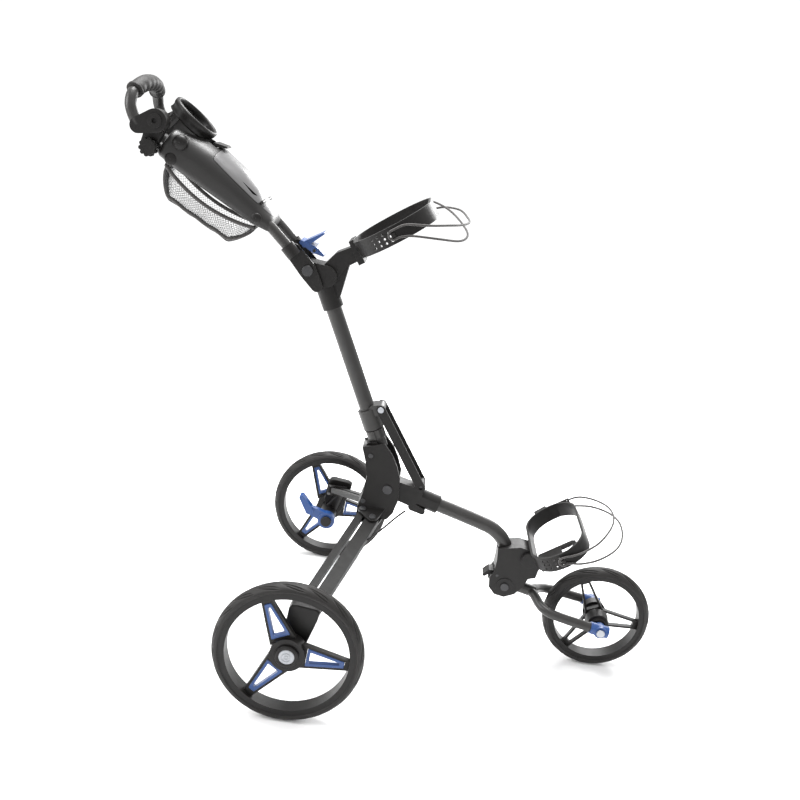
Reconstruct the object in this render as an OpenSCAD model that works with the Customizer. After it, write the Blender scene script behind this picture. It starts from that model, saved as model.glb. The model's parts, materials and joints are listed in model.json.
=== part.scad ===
// Three-wheel folding golf push trolley.
// Axes: +X forward, +Y left, +Z up, on level ground at Z = 0. Lengths in millimetres.
// Modules draw with the rear axle above X = 0, and at_axle() moves them back to the trolley's middle.

/* [Stance] */
// Distance of the rear axle behind the middle of the trolley
axle_back = 163; // [158:0.1:168]
// Distance from the rear axle to the front axle
wheelbase = 644; // [640:1:648]
// Distance between the middles of the two rear tyres
track = 696; // [690:1:702]

/* [Wheels] */
// Radius of the rear tyres
rear_r = 146; // [144:1:148]
// Radius of the front tyre
front_r = 119; // [117:1:120]
// Width of the rear tyres
rear_tyre_w = 36; // [32:1:38]
// Width of the front tyre
front_tyre_w = 37; // [32:1:40]
// Thickness of the tyres from seat to tread
tyre_t = 19; // [16:1:20]
// Diameter of the wheel axles
axle_d = 12; // [10:0.5:12]

/* [Column and tubes] */
// Diameter of the lower column
column_d = 33; // [31:0.5:34]
// Backward lean of the lower column, in degrees
column_lean = 24.6; // [24:0.1:25]
// Wall thickness of the tubes
tube_wall = 1.8; // [1.5:0.1:2.5]
// Diameter of the front arm tube
arm_d = 31; // [29:0.5:32]
// Diameter of the two handle rails
rail_d = 21; // [19:0.5:22]
// Diameter of the fork tubes
fork_d = 21; // [19:0.5:22]
// Diameter of the loop handle tube
loop_d = 22; // [20:0.5:23]

/* [Handle and console] */
// Rise of the handle rails above the horizontal, in degrees
rail_rise = 28.5; // [28:0.1:29]
// Width of the console at its upper end
console_w = 150; // [146:1:154]
// Diameter of the drinks holder
cup_d = 84; // [80:1:86]
// Width of the loop handle between its two legs
loop_w = 184; // [180:1:190]
// Diameter of the soft grip
grip_d = 33; // [31:1:34]

/* [Bag cradles] */
// Inside radius of the two bag cradles
cradle_r = 118; // [112:1:122]
// Upward tilt of the cradles, in degrees
cradle_tilt = 34.6; // [34:0.1:35]
// Diameter of the elastic bag cords
bungee_d = 4.5; // [4:0.1:5]

/* [Fits] */
// Radial clearance of running fits
fit = 0.05; // [0.02:0.01:0.1]
// Gap between parts that move past each other
gap = 0.5; // [0.4:0.1:1]

/* [Hidden] */
$fn = 64;

charcoal = [0.19, 0.19, 0.20];
black = [0.08, 0.08, 0.09];
dark_grey = [0.27, 0.27, 0.29];
light_grey = [0.62, 0.63, 0.65];
blue = [0.10, 0.30, 0.75];
steel = [0.70, 0.71, 0.73];
dark_steel = [0.16, 0.16, 0.17];

// Points of the side view, as [X, Z] from the rear axle at ground level
column_foot = [122.8, 440];
knuckle_pivot = [144, 368];
strut_low = [215, 378];
strut_top = [109, 541];
handle_pivot = [-71, 815];
rail_socket = [-104, 850];
rail_bend = [-152, 895];
fork_pivot = [428, 174];
catch_pivot = [408, 198];
upper_root = [34, 866];
lower_root = [488, 256];
upper_reach = 88;
lower_reach = 64;
upper_rise = 10;
lower_rise = 16;
arm_axis = [[205, 0, 351], [350, 0, 309], [392, 0, 291], [417, 0, 262], [424, 0, 226]];

// Heights along the column above its foot
socket_end = 14;
sleeve_top = 34;
collar_low = 59;
collar_top = 103;
bracket_low = 330;
bracket_top = 408;
column_top = 412;

// Rear leg linkage, drawn for the right leg in its own swing plane
leg_pivot = [120, -52, 300];
swing_tilt = 20.5;
leg_out = 18.1;
leg_len = 285;
rod_shift = [-23, 20.8];
leg_w = 28;
leg_t = 15;
rod_w = 15;
rod_t = 12;
leg_pin_d = 8;
lug_t = 4.5;
lug_edge = leg_t / 2 + gap + lug_t;
swing_turn = 48;
leg_end = [-leg_len * sin(leg_out), -leg_len * cos(leg_out)];

// Widths of the stacked joints
cheek_in = 24;
cheek_out = 31;
lug_half = 18;
bar_t = 5;
plate_in = 26;
plate_out = 33;
rail_y = 42;
hub_in = 79;
loop_y = loop_w / 2;

// Points of the console and handle, as [along the rails, above the rails] from the rail bend
hub_axis = [276, 47];
lid_hinge = [36, 35];
lid_slope = 10.5;
cup_centre = [239, 64];
clip_axis = [176, 54];
lid_pin_d = 4;

// Axis of the blue release lever, as [X, Z]
lever_axis = [-62, 856];

// ---------------------------------------------------------------- helpers

module at_axle() translate([-axle_back, 0, 0]) children();

module both_sides() {
    children();
    mirror([0, 1, 0]) children();
}

// Flat plate with an outline in the XZ plane, from y to y + t
module plate_xz(outline, y, t) {
    translate([0, y + t, 0]) rotate([90, 0, 0]) linear_extrude(t) polygon(outline);
}

// Round bar along Y at the side-view point p
module bar_y(p, d, y0, y1) {
    translate([p[0], y1, p[1]]) rotate([90, 0, 0]) cylinder(d = d, h = y1 - y0);
}

// Rounded link between two side-view points
module link_y(p, q, dp, dq, y0, y1) {
    hull() {
        bar_y(p, dp, y0, y1, $fn = 32);
        bar_y(q, dq, y0, y1, $fn = 32);
    }
}

// Round bar from point a to point b
module rod(a, b, d) {
    v = b - a;
    translate(a) rotate([0, acos(v[2] / norm(v)), atan2(v[1], v[0])]) cylinder(d = d, h = norm(v));
}

// Points of the side view moved to a given Y
function at_y(points, y) = [for (p = points) [p[0], y, p[1]]];

// Frame of the column: +Z up its axis, +X square to it and forward
module on_column(s) {
    translate([column_foot[0], 0, column_foot[1]]) rotate([0, -column_lean, 0]) translate([0, 0, s])
        children();
}

// Frame of the console: +X up along the rails, +Z square to them
module on_rails() {
    translate([rail_bend[0], 0, rail_bend[1]]) mirror([1, 0, 0]) rotate([0, -rail_rise, 0]) children();
}

// Frame of a bag cradle: +X from its root towards the bag, +Z along the bag
module on_cradle(root) {
    translate([root[0], 0, root[1]]) rotate([0, -cradle_tilt, 0]) children();
}

// Frame of the right rear leg: its pivot, with +Z along the pivot pins
module on_swing() {
    translate(leg_pivot) rotate([swing_tilt, 0, 0]) children();
}

// Catmull-Rom curve through points, with n steps in each span
function spline_at(p, i, u) =
    let (
        a = p[max(i - 1, 0)],
        b = p[i],
        c = p[i + 1],
        d = p[min(i + 2, len(p) - 1)]
    )
    0.5 * (
        2 * b + (c - a) * u + (2 * a - 5 * b + 4 * c - d) * u * u
        + (3 * b - a - 3 * c + d) * u * u * u
    );
function spline(p, n) = concat(
    [for (i = [0 : len(p) - 2]) for (k = [0 : n - 1]) spline_at(p, i, k / n)],
    [p[len(p) - 1]]
);

// Round cord swept along a path, as one closed polyhedron
function unit(v) = v / norm(v);
function path_dir(p, i) = unit(p[min(i + 1, len(p) - 1)] - p[max(i - 1, 0)]);
function side_dir(t) = unit(cross(t, abs(t[2]) < 0.9 ? [0, 0, 1] : [0, 1, 0]));
function carried(n, t) = unit(n - (n * t) * t);
function normals(p, i = 0, last = undef) =
    let (
        t = path_dir(p, i),
        n = is_undef(last) ? side_dir(t) : carried(last, t)
    )
    i == len(p) - 1 ? [n] : concat([n], normals(p, i + 1, n));

module cord(path, d, sides) {
    across = normals(path);
    rings = [
        for (i = [0 : len(path) - 1])
            let (t = path_dir(path, i), n = across[i], b = cross(t, n))
            for (k = [0 : sides - 1])
                path[i] + d / 2 * (cos(k * 360 / sides) * n + sin(k * 360 / sides) * b)
    ];
    last = (len(path) - 1) * sides;
    faces = concat(
        [[for (k = [0 : sides - 1]) k]],
        [for (i = [0 : len(path) - 2]) for (k = [0 : sides - 1])
            let (m = (k + 1) % sides)
            [i * sides + k, (i + 1) * sides + k, (i + 1) * sides + m, i * sides + m]],
        [[for (k = [sides - 1 : -1 : 0]) last + k]]
    );
    polyhedron(points = rings, faces = faces, convexity = 8);
}

// Pipe with an open bore swept along a path
module pipe(path, d, wall, sides) {
    across = normals(path);
    wall_ring = [
        for (r = [d / 2, d / 2 - wall])
            for (i = [0 : len(path) - 1])
                let (n = across[i], b = cross(path_dir(path, i), n))
                for (k = [0 : sides - 1])
                    path[i] + r * (cos(k * 360 / sides) * n + sin(k * 360 / sides) * b)
    ];
    shift = len(path) * sides;
    last = (len(path) - 1) * sides;
    faces = [
        for (i = [0 : len(path) - 2]) for (k = [0 : sides - 1])
            let (m = (k + 1) % sides, p = i * sides, q = (i + 1) * sides)
            each [
                [p + k, q + k, q + m, p + m],
                [shift + p + m, shift + q + m, shift + q + k, shift + p + k]
            ],
        for (k = [0 : sides - 1])
            let (m = (k + 1) % sides)
            each [
                [k, m, shift + m, shift + k],
                [last + m, last + k, shift + last + k, shift + last + m]
            ]
    ];
    polyhedron(points = wall_ring, faces = faces, convexity = 8);
}

// ---------------------------------------------------------------- column and housing

arm_path = spline(arm_axis, 4);

module main_tube() {
    color(charcoal) at_axle() on_column(socket_end) difference() {
        cylinder(d = column_d, h = column_top - socket_end);
        translate([0, 0, -1]) cylinder(d = column_d - 2 * tube_wall, h = column_top - socket_end + 2);
    }
}

housing_side = [
    [80, 456], [90, 425], [97, 392], [92, 350], [84, 318], [84, 300], [98, 292], [150, 298],
    [162, 314], [170, 345], [168, 396], [157, 425], [146, 446], [126, 470]
];
housing_back = [
    [80, 456], [90, 425], [97, 392], [92, 350], [84, 318], [84, 300], [98, 292], [104, 312],
    [106, 345], [110, 392], [104, 425], [98, 452]
];

// Two lugs that hold the inner ends of the right leg and rod
module swing_lugs(h0) {
    for (z = [-h0 - lug_t, h0]) translate([0, 0, z]) linear_extrude(lug_t) hull() {
        circle(d = 24);
        translate(rod_shift) circle(d = 20);
        translate([14, 30]) circle(d = 20);
    }
}

module housing_half() {
    difference() {
        union() {
            plate_xz(housing_side, -cheek_out, cheek_out - cheek_in);
            plate_xz(housing_back, -cheek_in - 1, cheek_in + 0.9);
            on_column(socket_end) intersection() {
                cylinder(d = column_d + 16, h = sleeve_top - socket_end);
                translate([-51, -50.1, 0]) cube([50, 50, 50]);
            }
            on_swing() swing_lugs(leg_t / 2 + gap);
        }
        on_column(socket_end - 30) cylinder(d = column_d, h = 120);
        bar_y(knuckle_pivot, axle_d, -60, 0);
        bar_y([100, 440], 6, -60, 0);
        bar_y([95, 335], 6, -60, 0);
        on_swing() {
            swing_pin();
            translate(rod_shift) {
                swing_pin();
                linear_extrude(rod_t + 2 * gap, center = true) {
                    circle(d = rod_w + 2);
                    for (a = [0, 24, swing_turn]) rotate(-90 - leg_out - a)
                        translate([0, -rod_w / 2 - 0.8]) square([30, rod_w + 1.6]);
                }
            }
        }
    }
}

module housing_right() color(black) at_axle() housing_half();
module housing_left() color(black) at_axle() mirror([0, 1, 0]) housing_half();

// Headed pin through a pair of leg or rod lugs
module swing_pin() {
    cylinder(d = leg_pin_d, h = 2 * lug_edge, center = true);
    for (z = [-lug_edge - 3, lug_edge]) translate([0, 0, z]) cylinder(d = 14, h = 3);
}

module frame_screws() {
    color(dark_steel) at_axle() {
        bar_y(knuckle_pivot, axle_d, -cheek_out, cheek_out);
        both_sides() bar_y(knuckle_pivot, axle_d + 8, -cheek_out - 3, -cheek_out);
        for (p = [[100, 440], [95, 335]]) {
            bar_y(p, 6, -cheek_out, cheek_out);
            both_sides() bar_y(p, 10, -cheek_out - 2.5, -cheek_out);
        }
        both_sides() on_swing() {
            swing_pin();
            translate(rod_shift) swing_pin();
        }
    }
}

// ---------------------------------------------------------------- sliding collar and struts

module stop_ring() {
    color(charcoal) at_axle() on_column(sleeve_top + 2) difference() {
        cylinder(d = column_d + 7, h = 20);
        translate([0, 0, -1]) cylinder(d = column_d, h = 22);
        both_sides() translate([0, lug_half, -1]) cube([30, 10, 22]);
    }
}

module slide_collar() {
    color(charcoal) at_axle() difference() {
        union() {
            on_column(collar_low) cylinder(d = column_d + 11, h = collar_top - collar_low);
            link_y(strut_top, strut_top - [14, 6], 18, 24, -lug_half, lug_half);
        }
        on_column(collar_low - 20) cylinder(d = column_d + 2 * fit, h = 90);
        bar_y(strut_top, 8, -60, 60);
    }
}

module strut_bars() {
    color(charcoal) at_axle() both_sides() difference() {
        link_y(strut_top, strut_low, 19, 19, -lug_half - gap - bar_t, -lug_half - gap);
        bar_y(strut_top, 8 + 2 * fit, -60, 0);
        bar_y(strut_low, 8.6, -60, 0);
    }
}

module strut_rivets() {
    color(steel) at_axle() {
        bar_y(strut_top, 8, -lug_half - 2 * gap - bar_t, lug_half + 2 * gap + bar_t);
        both_sides() bar_y(strut_top, 13, -lug_half - 2 * gap - bar_t - 1.2, -lug_half - 2 * gap - bar_t);
    }
}

// ---------------------------------------------------------------- front arm

module front_knuckle() {
    color(black) at_axle() difference() {
        union() {
            bar_y(knuckle_pivot, 44, -cheek_in + gap, cheek_in - gap);
            link_y(knuckle_pivot, [196, 354], 40, 44, -lug_half, lug_half);
            rod([190, 0, 355.5], [258, 0, 335.8], arm_d + 9);
            link_y([205, 360], strut_low, 30, 19, -lug_half, lug_half);
            link_y([202, 330], [224, 322], 18, 14, -lug_half, lug_half);
        }
        bar_y(knuckle_pivot, axle_d + 2 * fit, -60, 60);
        cord([for (i = [0 : 3]) arm_path[i]], arm_d, 24);
        bar_y(strut_low, 8, -60, 60);
        both_sides() rod([190, -13, 326], [240, -13, 322], 4);
        both_sides() translate([180, lug_half, 300]) cube([90, 10, 90]);
    }
}

module front_tube() {
    color(charcoal) at_axle() pipe(arm_path, arm_d - 0.1, tube_wall, 24);
}

// Pins of the fork, its catch and the struts' lower pivot
module front_pins() {
    color(dark_steel) at_axle() {
        bar_y(fork_pivot, 10, -27.5, 27.5);
        both_sides() bar_y(fork_pivot, 18, -30.5, -27.5);
        bar_y(catch_pivot, 6, -26, 26);
        bar_y(strut_low, 8, -lug_half, lug_half);
    }
}

bracket_side = [
    [400, 262], [448, 272], [470, 268], [496, 226], [492, 204], [466, 196], [400, 196], [402, 236]
];
bracket_cheek = [
    [404, 214], [480, 214], [476, 198], [468, 178], [452, 158], [430, 148], [408, 152], [394, 168],
    [392, 190]
];

module front_bracket() {
    color(black) at_axle() difference() {
        union() {
            plate_xz(bracket_side, -26, 52);
            both_sides() plate_xz(bracket_cheek, -26, 9);
            both_sides() bar_y(fork_pivot, 40, -27.5, -25);
            link_y([470, 246], [482, 250], 34, 30, -34, 34);
            link_y([470, 226], [484, 228], 34, 30, -20, 20);
        }
        cord(arm_path, arm_d, 24);
        rod([417, 0, 262], [400, 0, 281.8], arm_d + 4);
        bar_y(fork_pivot, 10, -60, 60);
        bar_y(fork_pivot, 46, -lug_half, lug_half);
        bar_y(catch_pivot, 6, -60, 60);
        bar_y(catch_pivot, 15, -lug_half, lug_half);
        translate([380, -lug_half, 186]) cube([28, 2 * lug_half, 22]);
        on_cradle(lower_root) translate([-5.2, -60, -60]) cube([80, 120, 140]);
    }
}

// Sprung catch that holds the fork open, turning on a pin in the bracket
module fork_catch() {
    color(black) at_axle() difference() {
        union() {
            bar_y(catch_pivot, 13, -lug_half + gap, lug_half - gap);
            link_y(catch_pivot, catch_pivot + [-17, 1], 11, 9, -14, 14);
            link_y(catch_pivot + [-17, 1], catch_pivot + [-27, -8], 9, 7, -14, 14);
        }
        bar_y(catch_pivot, 6 + 2 * fit, -60, 60);
    }
}

module foot_plate() {
    color(dark_grey) at_axle() on_cradle(lower_root) translate([0, 0, -30]) difference() {
        union() {
            linear_extrude(6) polygon([[-5, -31], [78, -31], [86, -24], [86, 24], [78, 31], [-5, 31]]);
            for (y = [-30, 0, 30]) translate([-5, y - 1.5, -6]) cube([78, 3, 7]);
        }
        translate([50, -20, -10]) cube([26, 40, 30]);
    }
}

// ---------------------------------------------------------------- fork and front wheel

fork_legs = spline([[486, 0, 161], [498, 14, 157], [514, 42, 145], [545, 60, 138], [628, 64, 122.5]], 3);

module front_fork() {
    color(charcoal) at_axle() difference() {
        union() {
            bar_y(fork_pivot, 36, -16.4, 16.4);
            rod([fork_pivot[0], 0, fork_pivot[1]], [499, 0, 157.8], 26);
            both_sides() cord(fork_legs, fork_d, 20);
        }
        bar_y(fork_pivot, 10 + 2 * fit, -60, 60);
    }
}

module fork_ends() {
    color(blue) at_axle() both_sides() difference() {
        union() {
            rod([622, 64, 123.6], [662, 64, 116.5], fork_d + 5);
            translate([wheelbase, 64, front_r]) rotate([90, 0, 0]) cylinder(d = 27, h = 22, center = true);
        }
        cord(fork_legs, fork_d, 20);
        bar_y([wheelbase, front_r], axle_d - 2, 30, 90);
    }
}

module front_axle() {
    color(steel) at_axle() {
        bar_y([wheelbase, front_r], axle_d - 2, -77, 77);
        both_sides() bar_y([wheelbase, front_r], 18, 77, 80);
    }
}

// Tyre with a rounded tread on a flat seat, with its axis along Y
module tyre(r, w) {
    seat = r - tyre_t;
    arc = [for (a = [-80 : 16 : 80]) [r - w / 2.6 + w / 2.6 * cos(a), w / 2 * sin(a)]];
    rotate([90, 0, 0]) rotate_extrude($fn = 96)
        polygon(concat(
            [[seat, 4.2 - w / 2], [seat + 4, 4.2 - w / 2], [seat + 4, 1.2 - w / 2]], arc,
            [[seat + 4, w / 2 - 1.2], [seat + 4, w / 2 - 4.2], [seat, w / 2 - 4.2]]
        ));
}

// Rim with three pairs of spokes that meet at the rim and spread at the hub
spoke_turns = [115, 235, 355];

module spoke_pair(hub_r, rim_r, spread, tip, arm) {
    root = hub_r - 8;
    near = hub_r + 2;
    far = rim_r - 12;
    function half(r) = spread + (tip - spread) * (r - root) / (rim_r - root) - arm;
    difference() {
        polygon([[root, -spread], [root, spread], [rim_r, tip], [rim_r, -tip]]);
        polygon([[near, -half(near)], [near, half(near)], [far, half(far)], [far, -half(far)]]);
    }
}

module rim(seat, open_r, w, hub_r, hub_w, spread, bore) {
    difference() {
        union() {
            rotate([90, 0, 0]) rotate_extrude($fn = 96) polygon([
                [open_r, -w / 2], [seat + 4, -w / 2], [seat + 4, -w / 2 + 2.2], [seat, -w / 2 + 2.2],
                [seat, w / 2 - 2.2], [seat + 4, w / 2 - 2.2], [seat + 4, w / 2], [open_r, w / 2]
            ]);
            rotate([90, 0, 0]) cylinder(r = hub_r, h = hub_w, center = true);
            rotate([90, 0, 0]) linear_extrude(11, center = true) for (a = spoke_turns) rotate(a)
                spoke_pair(hub_r, open_r + 3, spread, 9.5, 4.8);
        }
        rotate([90, 0, 0]) cylinder(d = bore, h = 200, center = true);
    }
}

module front_tyre() color(black) at_axle() translate([wheelbase, 0, front_r]) tyre(front_r, front_tyre_w);
module front_rim() {
    color(black) at_axle() translate([wheelbase, 0, front_r])
        rim(front_r - tyre_t, front_r - tyre_t - 6, front_tyre_w - 4, 20, 30, 20, 30);
}
module front_hub() {
    color(dark_grey) at_axle() translate([wheelbase, 0, front_r]) rotate([90, 0, 0]) difference() {
        union() {
            cylinder(d = 30, h = 98, center = true);
            both_ends(15) cylinder(d1 = 52, d2 = 46, h = 26);
            both_ends(41) cylinder(d = 34, h = 8);
        }
        cylinder(d = axle_d - 2 + 2 * fit, h = 200, center = true);
    }
}
module both_ends(h) {
    translate([0, 0, h]) children();
    mirror([0, 0, 1]) translate([0, 0, h]) children();
}

// ---------------------------------------------------------------- rear legs and wheels

module leg() {
    color(charcoal) at_axle() on_swing() difference() {
        linear_extrude(leg_t, center = true) hull()
            for (p = [[0, 0], leg_end]) translate(p) circle(d = leg_w);
        for (p = [[0, 0], leg_end]) translate([p[0], p[1], -50]) cylinder(d = leg_pin_d + 2 * fit, h = 100);
    }
}

module swing_rod() {
    color(charcoal) at_axle() on_swing() translate(rod_shift) difference() {
        linear_extrude(rod_t, center = true) hull()
            for (p = [[0, 0], leg_end]) translate(p) circle(d = rod_w);
        for (p = [[0, 0], leg_end]) translate([p[0], p[1], -50]) cylinder(d = leg_pin_d + 2 * fit, h = 100);
    }
}

module leg_right() leg();
module leg_left() mirror([0, 1, 0]) leg();
module rod_right() swing_rod();
module rod_left() mirror([0, 1, 0]) swing_rod();

// Carrier of the right wheel: two plates on the ends of the leg and rod, and the axle below
module carrier(inner_y) {
    plate_z = leg_t / 2 + gap;
    post = [-34, 4];
    at_axle() {
        on_swing() translate(leg_end) {
            for (z = [plate_z, -plate_z - lug_t]) translate([0, 0, z]) linear_extrude(lug_t) hull() {
                circle(d = 22);
                translate(post) circle(d = 13);
                translate(rod_shift) circle(d = 19);
            }
            for (p = [[0, 0], rod_shift]) translate([p[0], p[1], -plate_z - 1])
                cylinder(d = leg_pin_d, h = 2 * plate_z + 2);
            translate([post[0], post[1], -plate_z - 1]) cylinder(d = 12, h = 2 * plate_z + 2);
        }
        hull() {
            on_swing() translate([leg_end[0] - 8, leg_end[1] + 3, -plate_z - lug_t])
                cylinder(d = 20, h = 3, $fn = 32);
            bar_y([0, rear_r], 31, -322, -298, $fn = 32);
        }
        bar_y([0, rear_r], 40, -324, inner_y);
        bar_y([0, rear_r], 28, -track / 2 + 15, -300);
        bar_y([0, rear_r], axle_d, -track / 2 - 14, -300);
    }
}

module carrier_right() color(black) carrier(-290);
module carrier_left() color(black) mirror([0, 1, 0]) carrier(-262);

module tyre_right() color(black) at_axle() translate([0, -track / 2, rear_r]) tyre(rear_r, rear_tyre_w);
module tyre_left() color(black) at_axle() translate([0, track / 2, rear_r]) tyre(rear_r, rear_tyre_w);
module rear_rim() {
    rim(rear_r - tyre_t, rear_r - tyre_t - 8, rear_tyre_w - 4, 34, 28, 26, axle_d + 2 * fit);
}
module rim_right() color(black) at_axle() translate([0, -track / 2, rear_r]) rear_rim();
module rim_left() mirror([0, 1, 0]) rim_right();

// Three coloured frames clipped inside the spoke pairs of one rear wheel
module spoke_inserts() {
    inner_r = 36.6;
    outer_r = 109.3;
    for (a = spoke_turns) rotate([0, -a, 0]) rotate([90, 0, 0]) translate([0, 0, -4.5]) linear_extrude(11)
        difference() {
            polygon([[inner_r, -18.8], [inner_r, 18.8], [outer_r, 6.4], [outer_r, -6.4]]);
            polygon([[inner_r + 6, -12.3], [inner_r + 6, 12.3], [outer_r - 9, 2.6], [outer_r - 9, -2.6]]);
        }
}

module insert_right() color(blue) at_axle() translate([0, -track / 2, rear_r]) spoke_inserts();
module insert_left() mirror([0, 1, 0]) insert_right();

// Round cap over the axle end, with a plain raised ring
module hub_cap() {
    translate([0, -14, 0]) rotate([90, 0, 0]) {
        difference() {
            cylinder(d = 34, h = 5);
            translate([0, 0, -1]) cylinder(d = 22, h = 3.4);
        }
        translate([0, 0, 5]) cylinder(d1 = 30, d2 = 26, h = 1.5);
    }
}

module hub_cap_right() color(light_grey) at_axle() translate([0, -track / 2, rear_r]) hub_cap();
module hub_cap_left() mirror([0, 1, 0]) hub_cap_right();

// Foot brake on the left carrier, turning about the rear axle line
module brake_pedal() {
    color(blue) at_axle() difference() {
        union() {
            bar_y([0, rear_r], 42, 244, 261.5);
            link_y([-6, rear_r + 8], [-44, 168], 26, 22, 246, 260);
            link_y([-44, 168], [-66, 200], 20, 12, 242, 264);
        }
        bar_y([0, rear_r], axle_d + 4 + 2 * fit, 200, 300);
    }
}

module brake_cap() {
    color(black) at_axle() {
        bar_y([0, rear_r], 26, 237, 243.5);
        bar_y([0, rear_r], axle_d + 4, 237, 262);
    }
}

cable_points = [[118, -105, 280], [130, -88, 286], [150, -64, 297], [172, -38, 311], [189, -22, 321]];

module brake_cable() color(black) at_axle() cord(spline(cable_points, 4), 4, 8);

// ---------------------------------------------------------------- upper joint and bag support

module upper_bracket() {
    color(black) at_axle() difference() {
        union() {
            on_column(bracket_low) cylinder(d = column_d + 10, h = bracket_top - bracket_low);
            link_y(handle_pivot, [-34, 806], 34, 44, -plate_in + gap, plate_in - gap);
            link_y([-34, 806], [-8, 842], 40, 34, -18, 18);
            link_y([-8, 842], [26, 862], 34, 30, -18, 18);
            link_y([-14, 770], [-4, 842], 24, 30, -12, 12);
            plate_xz([[30, 838], [42, 846], [16, 890], [4, 882]], -30, 60);
        }
        on_column(bracket_low - 20) cylinder(d = column_d, h = column_top - bracket_low + 20);
        bar_y(handle_pivot, 12, -60, 60);
        on_cradle(upper_root) translate([-5.2, -60, -60]) cube([80, 120, 120]);
    }
}

// Space that a cradle leaves for the bag, grown by a wall, with its wings cut off at reach
module bag_outline(bend, reach, wall) {
    hull() {
        for (s = [-1, 1]) translate([bend, s * (cradle_r - bend)]) circle(r = bend + wall, $fn = 80);
        translate([reach - 1, -cradle_r - wall]) square([1, 2 * (cradle_r + wall)]);
    }
}

// U-shaped band with perforated corners, and a lug for the cord on its right wing
module cradle_band(reach) {
    bend = reach - 8;
    difference() {
        union() {
            translate([0, 0, -17]) linear_extrude(34) difference() {
                bag_outline(bend, reach, 5);
                bag_outline(bend, reach + 10, 0);
            }
            translate([reach - 12, -cradle_r - 11, -4]) cube([8, 8, 8]);
        }
        for (k = [0 : 3]) for (z = [-9, 0, 9])
            translate([bend, bend - cradle_r, z]) rotate([0, 0, 266 - k * 700 / bend]) rotate([0, 90, 0])
                cylinder(d = 5, h = 200);
    }
}

// Slotted rubber strap with its buckle on the left wing of a cradle
module cradle_strap(reach) {
    translate([reach - 14, cradle_r + 5.8, 0]) {
        rotate([0, 0, 12]) translate([-28, 0, -16]) difference() {
            cube([30, 11, 32]);
            translate([6, -1, 6]) cube([3, 13, 20]);
        }
        translate([-2, 0.5, -13]) difference() {
            cube([58, 5, 26]);
            for (x = [15, 35]) hull() for (z = [8, 18]) translate([x + 5, -1, z]) rotate([-90, 0, 0])
                cylinder(d = 11, h = 8, $fn = 32);
            for (z = [4, 22]) translate([53, -1, z]) rotate([-90, 0, 0]) cylinder(d = 3, h = 8);
        }
    }
}

// Places a cradle's parts: the band sits a little above its root along the bag
module at_upper() on_cradle(upper_root) translate([0, 0, upper_rise]) children();
module at_lower() on_cradle(lower_root) translate([0, 0, lower_rise]) children();

module upper_cradle() color(black) at_axle() at_upper() cradle_band(upper_reach);
module lower_cradle() color(black) at_axle() at_lower() cradle_band(lower_reach);
module upper_strap() color(black) at_axle() at_upper() cradle_strap(upper_reach);
module lower_strap() color(black) at_axle() at_lower() cradle_strap(lower_reach);

// Elastic cord from the strap round the bag to the right wing and back, in the cradle's frame
upper_route = [
    [130.8, 127, 19], [156, 118, 16], [180, 90, -8], [194, 50, -34], [201, 0, -60], [196, -38, -68],
    [180, -70, -62], [150, -110, -36], [112, -126, -8], [90, -127.5, 1], [77, -127, 2],
    [71, -127, 10], [77, -127, 18], [90, -127.5, 19], [112, -127, 16], [148, -118, -6],
    [180, -88, -26], [200, -52, -40],
    [213, 0, -48], [213, 40, -42], [204, 76, -24], [172, 112, -6], [130.8, 127, 1]
];
lower_route = [
    [106.8, 127, 25], [130, 119, 24], [156, 100, 14], [178, 68, 2], [185, 30, -3], [180, -8, -5],
    [164, -42, -5], [136, -80, -1], [104, -108, 8], [80, -124, 18], [64, -127.5, 24],
    [53, -127, 24], [47, -127, 16], [53, -127, 8], [64, -127.5, 8], [90, -122, -8],
    [124, -104, -24], [158, -72, -36], [178, -38, -39], [188, 0, -35], [188, 36, -28],
    [174, 74, -18], [144, 108, -4], [106.8, 127, 7]
];

module bungee(root, route) {
    color(black) at_axle() on_cradle(root) cord(spline(route, 2), bungee_d, 8);
}

module upper_bungee() bungee(upper_root, upper_route);
module lower_bungee() bungee(lower_root, lower_route);

// ---------------------------------------------------------------- handle

module handle_pin() {
    color(dark_steel) at_axle() {
        bar_y(handle_pivot, 12, -plate_out - gap, plate_out + gap);
        both_sides() bar_y(handle_pivot, 22, -plate_out - gap - 4, -plate_out - gap);
    }
}

// Middle line of the right rail, round its bend and up to its end
rail_up = [-cos(rail_rise), sin(rail_rise)];
rail_turn = [rail_socket, rail_bend + [11, -10.3], rail_bend + 4 * rail_up, rail_bend + 18 * rail_up];
rail_start = at_y(rail_turn, -rail_y);
rail_path = concat(spline(rail_start, 3), at_y([rail_bend + 262 * rail_up], -rail_y));

module handle_rails() {
    color(charcoal) at_axle() both_sides() pipe(rail_path, rail_d - 0.1, tube_wall, 24);
}

// Two side plates from the rails down past the pivot
module handle_fork() {
    color(black) at_axle() {
        both_sides() difference() {
            union() {
                link_y(handle_pivot, rail_socket, 36, 32, -plate_out, -plate_in);
                link_y(handle_pivot, [-50, 786], 36, 24, -plate_out, -plate_in);
                rod([-98, -rail_y, 843], [-116, -rail_y, 861.2], rail_d + 8);
            }
            cord(rail_path, rail_d, 24);
            bar_y(handle_pivot, 12 + 2 * fit, -60, 0);
            bar_y(lever_axis, 6, -60, 0);
        }
        bar_y(rail_socket, 14, -plate_in, plate_in);
        bar_y(lever_axis, 6, -plate_out, plate_out);
    }
}

// Blue lever between the side plates that locks the fold
module release_lever() {
    color(blue) at_axle() difference() {
        union() {
            bar_y(lever_axis, 14, -plate_in + gap, plate_in - gap);
            link_y(lever_axis, lever_axis + [-28, 12], 14, 8, -22, 22);
            link_y(lever_axis + [-22, 8], lever_axis + [14, 34], 12, 4, -20, 20);
            link_y(lever_axis, lever_axis + [17, -9], 14, 5, -20, 20);
        }
        bar_y(lever_axis, 6 + 2 * fit, -60, 60);
    }
}

// ---------------------------------------------------------------- console

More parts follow.
